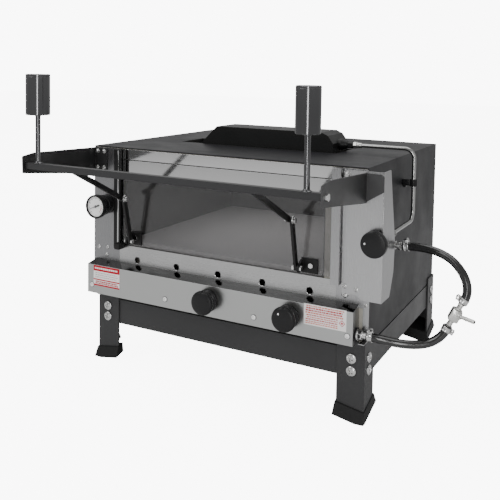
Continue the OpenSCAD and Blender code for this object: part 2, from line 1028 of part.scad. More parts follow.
outer_casing();
inner_chamber();
insulation();
baking_slab();
front_header();
left_column();
right_column();
sill_plate();
left_guide();
right_guide();
valve_panel();
control_box();
hose_strap();
front_rail();
rear_rail();
left_rail();
right_rail();
leg_front_left();
leg_front_right();
leg_rear_left();
leg_rear_right();
shoe_front_left();
shoe_front_right();
shoe_rear_left();
shoe_rear_right();
leg_bolts();
panel_screws();
thermometer_case();
thermometer_dial();
thermometer_needle();
front_valves();
gas_manifold();
front_knob_middle();
front_knob_right();
side_valve();
side_knob();
floor_burners();
top_burner_housing();
burner_plaque();
burner_venturi();
gas_tube();
tube_clip();
hose_upper();
hose_lower();
tee_fitting();
hose_clamps();
left_arm();
right_arm();
cross_bar();
counterweight_left();
counterweight_right();
crank_left();
crank_right();
link_left();
link_right();
pivot_bolts();
door_glass();
door_bracket_left();
door_bracket_right();
door_pins();
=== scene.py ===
"""Countertop gas oven with a counterweighted glass door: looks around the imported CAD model."""

import math
import random

import bmesh
import bpy
from mathutils import Matrix, Vector


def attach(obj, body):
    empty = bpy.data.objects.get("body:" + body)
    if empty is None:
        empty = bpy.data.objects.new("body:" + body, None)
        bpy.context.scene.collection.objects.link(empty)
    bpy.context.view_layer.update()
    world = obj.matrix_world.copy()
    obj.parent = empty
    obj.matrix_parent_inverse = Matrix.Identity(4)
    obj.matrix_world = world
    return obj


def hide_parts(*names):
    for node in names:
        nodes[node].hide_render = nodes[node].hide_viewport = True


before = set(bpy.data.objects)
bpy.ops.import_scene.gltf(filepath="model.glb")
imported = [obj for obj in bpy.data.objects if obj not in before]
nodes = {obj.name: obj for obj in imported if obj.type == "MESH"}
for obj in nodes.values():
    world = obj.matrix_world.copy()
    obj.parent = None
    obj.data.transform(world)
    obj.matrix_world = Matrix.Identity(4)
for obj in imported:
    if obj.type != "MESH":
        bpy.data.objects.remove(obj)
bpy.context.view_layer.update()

MM = 0.001
FRONT = (0, -1, 0)
BACK = (0, 1, 0)
RIGHT = (1, 0, 0)
UP = (0, 0, 1)

# planes that the small pieces sit on, in millimetres
BOX_FACE = -276
SILL_FACE = -247
PANEL_FACE = -251
HEADER_FACE = -246.6
SEAM_HIGH = 432
BOX_SCREWS_HIGH = 163

# ---- camera ----

CAMERA_AT = (0.7008, -1.4254, 0.6288)
CAMERA_TURN = math.radians(28.13)
CAMERA_TIP = math.radians(3.44)
CAMERA_ROLL = math.radians(0.92)
CAMERA_LENS = 50.87
CAMERA_SHIFT = (0.0, -0.2795)
SENSOR_WIDTH = 36.0
NEAR_CLIP = 0.01


def add_camera():
    data = bpy.data.cameras.new("view")
    data.lens = CAMERA_LENS
    data.sensor_width = SENSOR_WIDTH
    data.shift_x, data.shift_y = CAMERA_SHIFT
    data.clip_start = NEAR_CLIP
    camera = bpy.data.objects.new("view", data)
    bpy.context.collection.objects.link(camera)
    turn = Matrix.Rotation(CAMERA_TURN, 4, "Z")
    tip = Matrix.Rotation(math.pi / 2 - CAMERA_TIP, 4, "X")
    roll = Matrix.Rotation(CAMERA_ROLL, 4, "Z")
    camera.matrix_world = Matrix.Translation(CAMERA_AT) @ turn @ tip @ roll
    bpy.context.scene.camera = camera


add_camera()

# ---- materials ----

# lengths in metres, noise scales, and the shares of a colour that a faint mottle goes between
BUMP_DEPTH = 0.0004
BEVEL_SAMPLES = 4
NOISE_ROUGHNESS = 0.55
METAL_BEVEL = 0.0006
PAINT_BEVEL = 0.0008
BRUSHED_GRAIN = 60.0
PAINT_GRAIN = 900.0
METAL_MOTTLE = (0.93, 1.05)
PAINT_MOTTLE = (0.93, 1.06)


class Look:
    """A procedural material: a Principled shader with textures in object space."""

    def __init__(self, name, colour, metallic=0.0, roughness=0.5, bevel=0.0):
        self.material = bpy.data.materials.new(name)
        self.material.use_nodes = True
        self.tree = self.material.node_tree
        self.shader = self.tree.nodes["Principled BSDF"]
        self.set(Metallic=metallic, Roughness=roughness)
        self.shader.inputs["Base Color"].default_value = (*colour, 1.0)
        self.colour = colour
        self.coordinates = self.tree.nodes.new("ShaderNodeTexCoord").outputs["Object"]
        self.normal = None
        if bevel:
            node = self.tree.nodes.new("ShaderNodeBevel")
            node.samples = BEVEL_SAMPLES
            node.inputs["Radius"].default_value = bevel
            self.normal = node.outputs["Normal"]
            self.link(self.normal, self.shader.inputs["Normal"])

    def link(self, output, socket):
        self.tree.links.new(output, socket)

    def set(self, **values):
        for name, value in values.items():
            self.shader.inputs[name.replace("_", " ")].default_value = value

    def noise(self, scale, stretch=(1, 1, 1), detail=4.0):
        mapping = self.tree.nodes.new("ShaderNodeMapping")
        mapping.inputs["Scale"].default_value = stretch
        self.link(self.coordinates, mapping.inputs["Vector"])
        texture = self.tree.nodes.new("ShaderNodeTexNoise")
        texture.inputs["Scale"].default_value = scale
        texture.inputs["Detail"].default_value = detail
        texture.inputs["Roughness"].default_value = NOISE_ROUGHNESS
        self.link(mapping.outputs["Vector"], texture.inputs["Vector"])
        return texture.outputs["Fac"]

    def facing_along(self, axis):
        """How far a surface faces along X, Y or Z."""
        geometry = self.tree.nodes.new("ShaderNodeNewGeometry")
        parts = self.tree.nodes.new("ShaderNodeSeparateXYZ")
        self.link(geometry.outputs["True Normal"], parts.inputs["Vector"])
        return parts.outputs[axis]

    def spread(self, value, low, high, start=0.3, end=0.7):
        node = self.tree.nodes.new("ShaderNodeMapRange")
        node.inputs["From Min"].default_value = start
        node.inputs["From Max"].default_value = end
        node.inputs["To Min"].default_value = low
        node.inputs["To Max"].default_value = high
        self.link(value, node.inputs["Value"])
        return node.outputs["Result"]

    def vary_roughness(self, value, low, high, start=0.3, end=0.7):
        self.link(self.spread(value, low, high, start, end), self.shader.inputs["Roughness"])

    def vary_colour(self, value, dark, light):
        low = tuple(c * dark for c in self.colour)
        high = tuple(min(c * light, 1.0) for c in self.colour)
        self.mix_colour(value, low, high)

    def mix_colour(self, value, low, high, start=0.3, end=0.7, socket="Base Color"):
        ramp = self.tree.nodes.new("ShaderNodeMix")
        ramp.data_type = "RGBA"
        ramp.inputs["A"].default_value = (*low, 1.0)
        ramp.inputs["B"].default_value = (*high, 1.0)
        self.link(self.spread(value, 0.0, 1.0, start, end), ramp.inputs["Factor"])
        self.link(ramp.outputs["Result"], self.shader.inputs[socket])

    def bump(self, value, strength):
        node = self.tree.nodes.new("ShaderNodeBump")
        node.inputs["Strength"].default_value = strength
        node.inputs["Distance"].default_value = BUMP_DEPTH
        self.link(value, node.inputs["Height"])
        if self.normal is not None:
            self.link(self.normal, node.inputs["Normal"])
        self.normal = node.outputs["Normal"]
        self.link(self.normal, self.shader.inputs["Normal"])


def brushed(name, colour, stretch, roughness=(0.22, 0.36), bump=0.03):
    """Bare metal whose grain is fine along the axes with a large stretch."""
    look = Look(name, colour, metallic=1.0, roughness=roughness[0], bevel=METAL_BEVEL)
    grain = look.noise(BRUSHED_GRAIN, stretch, detail=5.0)
    look.vary_roughness(grain, *roughness)
    look.vary_colour(look.noise(5.0, detail=3.0), *METAL_MOTTLE)
    look.bump(grain, bump)
    return look.material


def painted(name, colour, roughness=(0.34, 0.46), grain=PAINT_GRAIN, bump=0.10, bevel=PAINT_BEVEL,
            metallic=0.0, shine=0.3):
    """An even coat or a plated face, a little mottled and with a fine grain."""
    look = Look(name, colour, metallic=metallic, roughness=roughness[0], bevel=bevel)
    if not metallic:
        look.set(Specular_IOR_Level=shine)
    look.vary_roughness(look.noise(14.0, detail=4.0), *roughness)
    look.vary_colour(look.noise(7.0, detail=3.0), *PAINT_MOTTLE)
    look.bump(look.noise(grain, detail=2.0), bump)
    return look.material


def box_steel():
    """Brushed steel whose top, the control box's upper face, is painted darker and glossier: a painted dark
    reflection.
    """
    look = Look("box_steel", (0.40, 0.405, 0.40), metallic=1.0, roughness=0.3, bevel=METAL_BEVEL)
    up = look.facing_along("Z")
    # painted reflection: faces turned up get a dark colour and a weaker specular tint
    look.mix_colour(up, look.colour, (0.09, 0.09, 0.09), 0.5, 0.8)
    look.mix_colour(up, (1.0, 1.0, 1.0), (0.45, 0.45, 0.45), 0.5, 0.8, "Specular Tint")
    look.vary_roughness(up, 0.30, 0.07, 0.5, 0.8)
    look.bump(look.noise(BRUSHED_GRAIN, (0.4, 1, 12), detail=5.0), 0.02)
    return look.material


def header_steel():
    """Polished steel whose upper band, above the seam, is painted a little brighter: a painted highlight on
    the fold there.
    """
    look = Look("header_steel", (0.46, 0.46, 0.46), metallic=1.0, roughness=0.08, bevel=METAL_BEVEL)
    parts = look.tree.nodes.new("ShaderNodeSeparateXYZ")
    look.link(look.coordinates, parts.inputs["Vector"])
    # painted highlight: the band above SEAM_HIGH is lighter
    look.mix_colour(parts.outputs["Z"], look.colour, (0.60, 0.60, 0.60),
                    (SEAM_HIGH - 0.5) * MM, (SEAM_HIGH + 0.5) * MM)
    grain = look.noise(BRUSHED_GRAIN, (0.3, 1, 10), detail=5.0)
    look.vary_roughness(grain, 0.06, 0.12)
    look.bump(grain, 0.008)
    return look.material


def arm_paint():
    """Grey paint; the flange that faces the front is painted a little lighter, painted light against the
    shade there.
    """
    look = Look("arm_paint", (0.024, 0.024, 0.0245), roughness=0.36, bevel=PAINT_BEVEL)
    look.set(Specular_IOR_Level=0.25)
    # painted light: faces turned to the front are lighter
    look.mix_colour(look.facing_along("Y"), (0.050, 0.050, 0.051), look.colour, -0.9, -0.5)
    look.vary_roughness(look.noise(14.0), 0.34, 0.46)
    look.bump(look.noise(PAINT_GRAIN, detail=2.0), 0.10)
    return look.material


def panel_steel():
    """Brushed steel whose folded side, facing right, is painted a little darker than its front: painted
    shade.
    """
    look = Look("panel_steel", (0.40, 0.40, 0.405), metallic=1.0, roughness=0.28, bevel=METAL_BEVEL)
    # painted shade: faces turned to the right are darker
    look.mix_colour(look.facing_along("X"), look.colour, (0.29, 0.29, 0.295), 0.3, 0.7)
    grain = look.noise(BRUSHED_GRAIN, (14, 14, 0.4), detail=5.0)
    look.vary_roughness(grain, 0.24, 0.36)
    look.bump(grain, 0.03)
    return look.material


def tinted_glass():
    """Smoked glass: mostly clear, with a faint reflection that does not depend on the angle."""
    look = Look("door_glass", (0.020, 0.020, 0.022), roughness=0.02)
    clear = look.tree.nodes.new("ShaderNodeBsdfTransparent")
    clear.inputs["Color"].default_value = (0.74, 0.74, 0.75, 1.0)
    shine = look.tree.nodes.new("ShaderNodeBsdfGlossy")
    shine.inputs["Color"].default_value = (0.75, 0.75, 0.75, 1.0)
    look.link(look.spread(look.noise(9.0, detail=3.0), 0.01, 0.04), shine.inputs["Roughness"])
    mix = look.tree.nodes.new("ShaderNodeMixShader")
    mix.inputs["Fac"].default_value = 0.05
    look.link(clear.outputs["BSDF"], mix.inputs[1])
    look.link(shine.outputs["BSDF"], mix.inputs[2])
    look.link(mix.outputs["Shader"], look.tree.nodes["Material Output"].inputs["Surface"])
    look.tree.nodes.remove(look.shader)
    return look.material


def clear_glass():
    """The thermometer's lens, almost invisible."""
    look = Look("dial_glass", (0.9, 0.9, 0.9), roughness=0.02)
    look.set(Alpha=0.05, IOR=1.5)
    look.vary_roughness(look.noise(40.0), 0.02, 0.05)
    return look.material


def make_materials():
    return {
        "casing_paint": painted("casing_paint", (0.011, 0.011, 0.0125), (0.38, 0.50), shine=0.17),
        "stand_paint": painted("stand_paint", (0.037, 0.037, 0.038), bump=0.15, shine=0.22),
        "black_paint": painted("black_paint", (0.006, 0.006, 0.006), bump=0.12, shine=0.25),
        "arm_paint": arm_paint(),
        "left_arm_paint": painted("left_arm_paint", (0.011, 0.011, 0.0112), shine=0.4),
        "bar_paint": painted("bar_paint", (0.026, 0.026, 0.027), (0.28, 0.40)),
        "gunmetal": brushed("gunmetal", (0.112, 0.112, 0.115), (9, 9, 0.25), (0.11, 0.15),
                            bump=0.004),
        "steel_flat": brushed("steel_flat", (0.40, 0.40, 0.40), (0.4, 1, 12)),
        "box_steel": box_steel(),
        "steel_upright": brushed("steel_upright", (0.34, 0.34, 0.345), (14, 1, 0.4)),
        # painted shade: the left column's steel is a darker copy of the right column's
        "shaded_steel_column": brushed("shaded_steel_column", (0.24, 0.24, 0.245), (14, 1, 0.4)),
        "panel_steel": panel_steel(),
        "steel_polished": brushed("steel_polished", (0.47, 0.47, 0.47), (0.3, 1, 10), (0.06, 0.12),
                                  bump=0.008),
        "header_steel": header_steel(),
        "liner": brushed("liner", (0.20, 0.197, 0.194), (3, 1, 3), (0.35, 0.5)),
        "zinc": painted("zinc", (0.56, 0.56, 0.555), (0.14, 0.24), bump=0.06, bevel=0.0004,
                        metallic=1.0),
        "bright_zinc": painted("bright_zinc", (0.85, 0.85, 0.84), (0.30, 0.42), bump=0.04, bevel=0.0,
                               metallic=0.6),
        "nickel": painted("nickel", (0.60, 0.60, 0.58), (0.25, 0.38), bump=0.06, bevel=0.0005,
                          metallic=1.0),
        "dark_nickel": painted("dark_nickel", (0.25, 0.25, 0.245), (0.16, 0.26), bump=0.06, bevel=0.0005,
                               metallic=1.0),
        "tube_metal": painted("tube_metal", (0.34, 0.34, 0.335), (0.12, 0.20), bump=0.03, bevel=0.0,
                              metallic=1.0),
        "brass": painted("brass", (0.50, 0.36, 0.15), (0.3, 0.42), bump=0.05, metallic=1.0),
        "rubber": painted("rubber", (0.004, 0.004, 0.004), (0.14, 0.22), bump=0.10, bevel=0.001,
                          shine=0.7),
        "shoe_rubber": painted("shoe_rubber", (0.011, 0.011, 0.011), (0.45, 0.60), grain=400.0,
                               bump=0.3, shine=0.2),
        "plastic": painted("plastic", (0.0110, 0.0110, 0.0115), (0.26, 0.36), bump=0.06, bevel=0.001,
                           shine=0.2),
        "ceramic": painted("ceramic", (0.35, 0.32, 0.27), (0.7, 0.85), grain=300.0, bump=0.4),
        "wool": painted("wool", (0.45, 0.43, 0.38), (0.9, 1.0), grain=200.0, bump=0.8),
        "slab": painted("slab", (0.34, 0.33, 0.32), (0.5, 0.7), grain=350.0, bump=0.3, shine=0.1),
        # painted shade: a dark colour for the header's seam and the rings round the box screws
        "painted_shade": painted("painted_shade", (0.03, 0.03, 0.03), (0.5, 0.6), bump=0.02, bevel=0.0),
        # painted shade for the roof slot's opening
        "slot_shade": painted("slot_shade", (0.006, 0.006, 0.006), (0.6, 0.8), bump=0.2),
        "dial_white": painted("dial_white", (0.98, 0.98, 0.96), (0.5, 0.6), bump=0.02, bevel=0.0),
        "paper": painted("paper", (0.80, 0.77, 0.76), (0.45, 0.55), bump=0.03, bevel=0.0, shine=0.2),
        "red_ink": painted("red_ink", (0.40, 0.010, 0.022), (0.45, 0.55), bump=0.03, bevel=0.0,
                           shine=0.1),
        "pale_ink": painted("pale_ink", (0.58, 0.17, 0.13), (0.45, 0.55), bump=0.03, bevel=0.0,
                            shine=0.1),
        "grey_ink": painted("grey_ink", (0.42, 0.38, 0.38), (0.45, 0.55), bump=0.03, bevel=0.0),
        "needle_black": painted("needle_black", (0.01, 0.01, 0.01), (0.4, 0.5), bump=0.02, bevel=0.0),
        "door_glass": tinted_glass(),
        "dial_glass": clear_glass(),
    }


looks = make_materials()

DRESS = {
    "casing_paint": ["outer_casing"],
    "stand_paint": ["front_rail", "rear_rail", "left_rail", "right_rail", "leg_front_left", "leg_front_right",
                    "leg_rear_left", "leg_rear_right"],
    "arm_paint": ["right_arm"],
    "left_arm_paint": ["left_arm"],
    "black_paint": ["left_guide", "top_burner_housing", "burner_venturi", "crank_left",
                    "crank_right", "link_left", "link_right", "door_bracket_left", "door_bracket_right"],
    "bar_paint": ["cross_bar"],
    "steel_flat": ["sill_plate"],
    "box_steel": ["control_box"],
    "header_steel": ["front_header"],
    "steel_upright": ["right_column", "right_guide", "hose_strap"],
    "shaded_steel_column": ["left_column"],
    "panel_steel": ["valve_panel"],
    "liner": ["inner_chamber", "floor_burners"],
    "zinc": ["pivot_bolts", "door_pins", "gas_manifold"],
    "dark_nickel": ["side_valve"],
    "tube_metal": ["gas_tube"],
    "brass": ["front_valves"],
    "shoe_rubber": ["shoe_front_left", "shoe_front_right", "shoe_rear_left", "shoe_rear_right"],
    "ceramic": ["burner_plaque"],
    "wool": ["insulation"],
    "slab": ["baking_slab"],
    "dial_white": ["thermometer_dial"],
    "door_glass": ["door_glass"],
}


def dress_nodes():
    for look, names in DRESS.items():
        for name in names:
            mesh = nodes[name].data
            mesh.materials.clear()
            mesh.materials.append(looks[look])


dress_nodes()

# ---- building pieces ----


def facing(at, direction, spin=0.0):
    """A place at a point in millimetres whose Z runs along direction, with a millimetre as its unit."""
    turn = Vector(direction).to_track_quat("Z", "Y").to_matrix().to_4x4()
    spin = Matrix.Rotation(math.radians(spin), 4, "Z")
    return Matrix.Translation(Vector(at) * MM) @ turn @ spin @ Matrix.Scale(MM, 4)


def turned_about_y(at, degrees):
    """A place at a point in millimetres, turned about Y, with a millimetre as its unit."""
    return (Matrix.Translation(Vector(at) * MM) @ Matrix.Rotation(math.radians(degrees), 4, "Y")
            @ Matrix.Scale(MM, 4))


ON_AXIS = 1e-6
WELD = 1e-6
SHARP_ANGLE = 32


class Piece:
    """A mesh built up from several forms in millimetres, each with its look."""

    def __init__(self, name):
        self.name = name
        self.bm = bmesh.new()
        self.slots = []

    def slot_of(self, look):
        if look not in self.slots:
            self.slots.append(look)
        return self.slots.index(look)

    def turned(self, place, profile, look, steps=40):
        """A profile of (radius, height) turned about Z; with 6 steps it is a hexagon."""
        rings = []
        for radius, height in profile:
            count = steps if radius > ON_AXIS else 1
            ring = []
            for k in range(count):
                angle = math.tau * k / steps
                point = Vector((radius * math.cos(angle), radius * math.sin(angle), height))
                ring.append(self.bm.verts.new(place @ point))
            rings.append(ring)
        faces = []
        for low, high in zip(rings, rings[1:]):
            if len(low) == 1 and len(high) == 1:
                continue
            for k in range(steps):
                after = (k + 1) % steps
                corners = [low[k % len(low)], low[after % len(low)],
                           high[after % len(high)], high[k % len(high)]]
                faces.append(self.bm.faces.new(list(dict.fromkeys(corners))))
        for face in faces:
            face.material_index = self.slot_of(look)

    def box(self, low, high, look, bevel=0.4, place=None):
        """A box with rounded edges between two corners, in millimetres."""
        place = place if place is not None else Matrix.Scale(MM, 4)
        before = set(self.bm.faces)
        middle = (Vector(low) + Vector(high)) / 2
        size = Vector(high) - Vector(low)
        stretch = Matrix.Translation(middle) @ Matrix.Diagonal((*size, 1))
        made = bmesh.ops.create_cube(self.bm, size=1.0, matrix=stretch)
        edges = {edge for vert in made["verts"] for edge in vert.link_edges}
        if bevel:
            bmesh.ops.bevel(self.bm, geom=list(edges), offset=bevel, segments=2, profile=0.5,
                            affect="EDGES", clamp_overlap=True)
        faces = [face for face in self.bm.faces if face not in before]
        for vert in {vert for face in faces for vert in face.verts}:
            vert.co = place @ vert.co
        for face in faces:
            face.material_index = self.slot_of(look)

    def finish(self, body, slot, *replaced):
        """Makes the object, on its body, in place of the CAD nodes it replaces; slot is not used."""
        bmesh.ops.remove_doubles(self.bm, verts=self.bm.verts, dist=WELD)
        bmesh.ops.recalc_face_normals(self.bm, faces=self.bm.faces)
        mesh = bpy.data.meshes.new(self.name)
        self.bm.to_mesh(mesh)
        self.bm.free()
        for polygon in mesh.polygons:
            polygon.use_smooth = True
        mesh.set_sharp_from_angle(angle=math.radians(SHARP_ANGLE))
        for look in self.slots:
            mesh.materials.append(looks[look])
        piece = bpy.data.objects.new(self.name, mesh)
        bpy.context.collection.objects.link(piece)
        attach(piece, body)
        if replaced:
            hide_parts(*replaced)
        return piece


# ---- hoses, their clamps and the tee ----

# centre lines in millimetres, from the side valve to the tee and from the tee to the control box
UPPER_ROUTE = [
    (351, -172, 309), (368, -173, 310.5), (388, -178, 312), (408, -185, 312), (427, -193, 309.5),
    (445, -200, 303), (460, -207, 292), (471, -213, 278), (476, -218, 263), (475, -222, 249),
    (469, -224.5, 238)]
LOWER_ROUTE = [
    (449, -229.5, 198), (443, -231.5, 185.5), (433, -234.5, 174), (419, -238, 165), (402, -242, 160),
    (383, -246, 158), (364, -250.5, 158.5), (346, -255.5, 161), (330, -259, 163), (316, -259, 163)]
ROUTE_STEPS = 4
HOSE_D = 0.015
TEE = Vector((459, -227, 218))
TEE_RUN = Vector((0.43, 0.10, 0.90)).normalized()
INLET_TIP = Vector((494, -242, 216))


def smooth_route(points):
    """Points in metres on a Catmull-Rom curve through a route given in millimetres."""
    route = [Vector(p) * MM for p in points]
    route = [2 * route[0] - route[1]] + route + [2 * route[-1] - route[-2]]
    out = []
    for i in range(1, len(route) - 2):
        a, b, c, d = route[i - 1:i + 3]
        for k in range(ROUTE_STEPS):
            t = k / ROUTE_STEPS
            out.append(0.5 * (2 * b + (c - a) * t + (2 * a - 5 * b + 4 * c - d) * t * t
                              + (3 * b - a - 3 * c + d) * t ** 3))
    out.append(route[-2])
    return out


def hose(name, route, node, with_pieces):
    """A rubber hose along a route, in place of its CAD node; with_pieces, the pieces at its ends, is not
    used.
    """
    points = smooth_route(route)
    curve = bpy.data.curves.new(name, "CURVE")
    curve.dimensions = "3D"
    curve.bevel_depth = HOSE_D / 2
    curve.bevel_resolution = 6
    curve.use_fill_caps = True
    spline = curve.splines.new("POLY")
    spline.points.add(len(points) - 1)
    for knot, point in zip(spline.points, points):
        knot.co = (*point, 1.0)
    spline.use_smooth = True
    piece = bpy.data.objects.new(name, curve)
    bpy.context.collection.objects.link(piece)
    curve.materials.append(looks["rubber"])
    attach(piece, "frame")
    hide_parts(node)


def make_clamps(name, route):
    """Worm clamps on a hose's two ends: a band, a housing and its slotted screw."""
    made = Piece(name)
    radius = HOSE_D / MM / 2
    inside, groove, rim, edge = radius + 0.1, radius + 1.0, radius + 1.3, radius + 1.1
    band = [(inside, -4.2), (edge, -4.2), (rim, -3.6), (groove, -3.0), (groove, 3.0),
            (rim, 3.6), (edge, 4.2), (inside, 4.2), (inside, -4.2)]
    screw = [(0, 0), (2.6, 0), (3.2, 0.5), (3.2, 3.0), (2.2, 3.2), (2.2, 12.6), (1.6, 13.4), (0, 13.4)]
    for start, after in ((route[0], route[1]), (route[-1], route[-2])):
        start, after = Vector(start), Vector(after)
        run = (after - start).normalized()
        side = run.cross(Vector((0, 1, 0.2))).normalized()
        middle = start + 0.45 * (after - start)
        made.turned(facing(middle, run), band, "zinc")
        screw_run = run.cross(side)
        axes = Matrix((screw_run, run, side)).transposed().to_4x4()
        housing = Matrix.Translation(middle * MM) @ axes @ Matrix.Scale(MM, 4)
        made.box((-4, -4.6, radius + 0.4), (4, 4.6, radius + 5.6), "zinc", 0.8, housing)
        head = middle + side * (radius + 3.4) - screw_run * 7.5
        made.turned(facing(head, screw_run), screw, "zinc", 24)
    return made.finish("frame", "zinc", "hose_clamps")


def make_tee():
    """The cast tee with a barbed end for each hose and its open inlet."""
    made = Piece("cast_tee")
    along = facing(TEE, TEE_RUN)
    made.box((-9, -9, -11), (9, 9, 11), "nickel", 2.6, along)
    for end in (UPPER_ROUTE[-1], LOWER_ROUTE[0]):
        run = Vector(end) - TEE
        reach = run.length
        made.turned(facing(TEE, run.normalized()), [
            (0, 6), (6.4, 6), (6.4, 12.2), (5.6, 13.0), (4.6, 13.2), (4.6, reach - 3.5),
            (5.4, reach - 3.2), (4.8, reach + 0.8), (0, reach + 0.8)], "nickel", 32)
    run = INLET_TIP - TEE
    reach = run.length
    made.turned(facing(TEE, run.normalized()), [
        (0, 6), (5.5, 6), (5.5, 10.4), (4.9, 11.0), (3.2, 11.3), (3.2, reach - 17), (3.7, reach - 16.6),
        (3.2, reach - 12), (3.2, reach - 11), (3.7, reach - 10.6), (3.2, reach - 6), (3.2, reach - 5),
        (3.7, reach - 4.6), (3.1, reach - 0.2), (2.9, reach), (2.2, reach), (2.2, reach - 9),
        (0, reach - 9)], "nickel", 32)
    return made.finish("frame", "nickel", "tee_fitting")


hose("hose_upper_skin", UPPER_ROUTE, "hose_upper",
     [make_tee(), make_clamps("clamps_upper", UPPER_ROUTE)])
hose("hose_lower_skin", LOWER_ROUTE, "hose_lower",
     [make_clamps("clamps_lower", LOWER_ROUTE)])

# ---- knobs ----

# profiles as (radius, height) in millimetres
KNOB_GRIP = [
    (0, 0), (21.0, 0), (22.0, 0.8), (22.0, 3.0), (20.6, 4.4), (17.6, 6.4), (16.8, 8.6), (17.4, 10.6),
    (20.8, 12.4), (22.6, 14.0), (23.4, 16.4), (23.4, 19.4), (22.6, 21.8), (20.8, 23.4), (17.6, 24.2),
    (10.0, 24.8), (0, 25.0)]
KNOB_DISC = [
    (0, 0), (14.0, 0), (14.0, 3.0), (22.0, 4.2), (23.4, 5.4), (23.5, 14.4), (22.6, 16.6), (20.6, 17.6),
    (8.0, 18.0), (0, 18.0)]
# a small white dot on a knob's face: a painted highlight
KNOB_GLINT = [(0, -0.8), (1.9, -0.8), (1.9, 0.1), (1.5, 0.5), (0, 0.7)]
KNOBS_HIGH = 178


def make_knob(name, node, body, at, profile, nub, glint=None):
    """A moulded knob; nub is its pointer's angle from the top, and the last argument places a white dot on
    it: a painted highlight.
    """
    made = Piece(name)
    made.turned(facing(at, FRONT), profile, "plastic", 64)
    top = profile[-1][1]
    made.box((-1.8, -top + 1.5, 19.0), (1.8, -top * 0.42, 24.8), "plastic", 0.7, turned_about_y(at, nub))
    if glint:
        # painted highlight: a white dot on the knob's face
        across, up, out = glint
        place = facing((at[0] + across, at[1] - out, at[2] + up), (across * 0.02, -1, up * 0.02))
        made.turned(place, KNOB_GLINT, "dial_white", 24)
    made.finish(body, "black_plastic", node)


make_knob("knob_grip_middle", "front_knob_middle", "middle_knob", (0, BOX_FACE - 2, KNOBS_HIGH),
          KNOB_GRIP, 0)
make_knob("knob_grip_right", "front_knob_right", "right_knob", (172, BOX_FACE - 2, KNOBS_HIGH),
          KNOB_GRIP, 0, (-8.0, 10.5, 24.4))
make_knob("knob_grip_side", "side_knob", "burner_knob", (326, PANEL_FACE - 2, 328), KNOB_DISC, 20,
          (-15.0, 1.0, 17.6))

# ---- thermometer ----

DIAL_X = -273
DIAL_Z = 333
DIAL_FACE = -283.0
NEEDLE_Y = -284.1
# degrees: where the scale starts, from one mark to the next, where the red arc starts, and the needle
SCALE_START = 225
MARK_STEP = 6.75
RED_START = 5
NEEDLE_REST = 158
SCALE_MARKS = 41
RED_MARKS = 8
MARK_RING = 19.6
NEEDLE_OUTLINE = [
    (-11, 0.9), (-10, 1.8), (-6, 1.9), (-2, 1.2), (16, 0.35), (18, 0), (16, -0.35), (-2, -1.2),
    (-6, -1.9), (-10, -1.8), (-11, -0.9)]


def make_thermometer_case():
    """The shell with its stem, and the lens over the dial."""
    case = Piece("thermometer_shell")
    place = facing((DIAL_X, SILL_FACE, DIAL_Z), FRONT)
    case.turned(place, [
        (0, 0), (19.0, 0), (20.0, 1.0), (20.5, 3.0), (20.5, 12.0), (21.4, 12.6), (21.4, 16.0),
        (20.5, 16.6), (20.5, 27.0), (22.5, 28.2), (24.6, 29.0), (25.0, 30.0), (25.0, 38.0),
        (24.6, 39.4), (23.6, 40.0), (22.4, 39.8), (21.4, 38.6), (21.0, 35.2), (0, 35.2)], "plastic", 64)
    case.turned(facing((DIAL_X, SILL_FACE - 2, DIAL_Z), BACK), [
        (0, 0), (3.0, 0), (3.0, 45), (2.2, 48), (0, 48)], "zinc", 20)
    case.finish("frame", "black_plastic", "thermometer_case")
    lens = Piece("thermometer_lens")
    lens.turned(place, [
        (0, 38.8), (12, 38.4), (20.8, 37.4), (20.8, 36.9), (12, 37.9), (0, 38.3)], "dial_glass", 48)
    lens.finish("frame", "black_plastic")


def make_dial_marks():
    """A scale of plain marks, every fifth one longer, with a red arc at its high end."""
    marks = Piece("dial_marks")
    for step in range(SCALE_MARKS):
        length, width = (4.2, 0.42) if step % 5 == 0 else (2.4, 0.25)
        turn = turned_about_y((DIAL_X, DIAL_FACE, DIAL_Z), -(SCALE_START - step * MARK_STEP))
        marks.box((MARK_RING - length, -0.12, -width), (MARK_RING, 0.02, width), "needle_black", 0, turn)
    for step in range(RED_MARKS):
        turn = turned_about_y((DIAL_X, DIAL_FACE, DIAL_Z), -(RED_START - step * MARK_STEP))
        marks.box((13.6, -0.10, -1.0), (14.8, 0.02, 1.0), "red_ink", 0, turn)
    marks.finish("frame", "needle_black")


def make_needle():
    """The tapered needle with its hub."""
    needle = Piece("needle_pointer")
    turn = turned_about_y((DIAL_X, NEEDLE_Y, DIAL_Z), NEEDLE_REST)
    front = [needle.bm.verts.new(turn @ Vector((x, -0.3, z))) for x, z in NEEDLE_OUTLINE]
    back = [needle.bm.verts.new(turn @ Vector((x, 0.3, z))) for x, z in NEEDLE_OUTLINE]
    needle.bm.faces.new(front)
    needle.bm.faces.new(list(reversed(back)))
    for k in range(len(NEEDLE_OUTLINE)):
        after = (k + 1) % len(NEEDLE_OUTLINE)
        needle.bm.faces.new((front[after], front[k], back[k], back[after]))
    for face in needle.bm.faces:
        face.material_index = needle.slot_of("needle_black")
    needle.turned(facing((DIAL_X, NEEDLE_Y + 2, DIAL_Z), FRONT), [
        (0, 0), (1.0, 0), (1.0, 1.3), (2.9, 1.5), (2.9, 2.3), (2.2, 2.9), (0, 3.1)], "needle_black", 24)
    needle.finish("needle", "needle_black", "thermometer_needle")


make_thermometer_case()
make_dial_marks()
make_needle()

# ---- counterweights ----

WEIGHT_X = 276
WEIGHT_Y = -444
WEIGHT_FOOT = 442.5


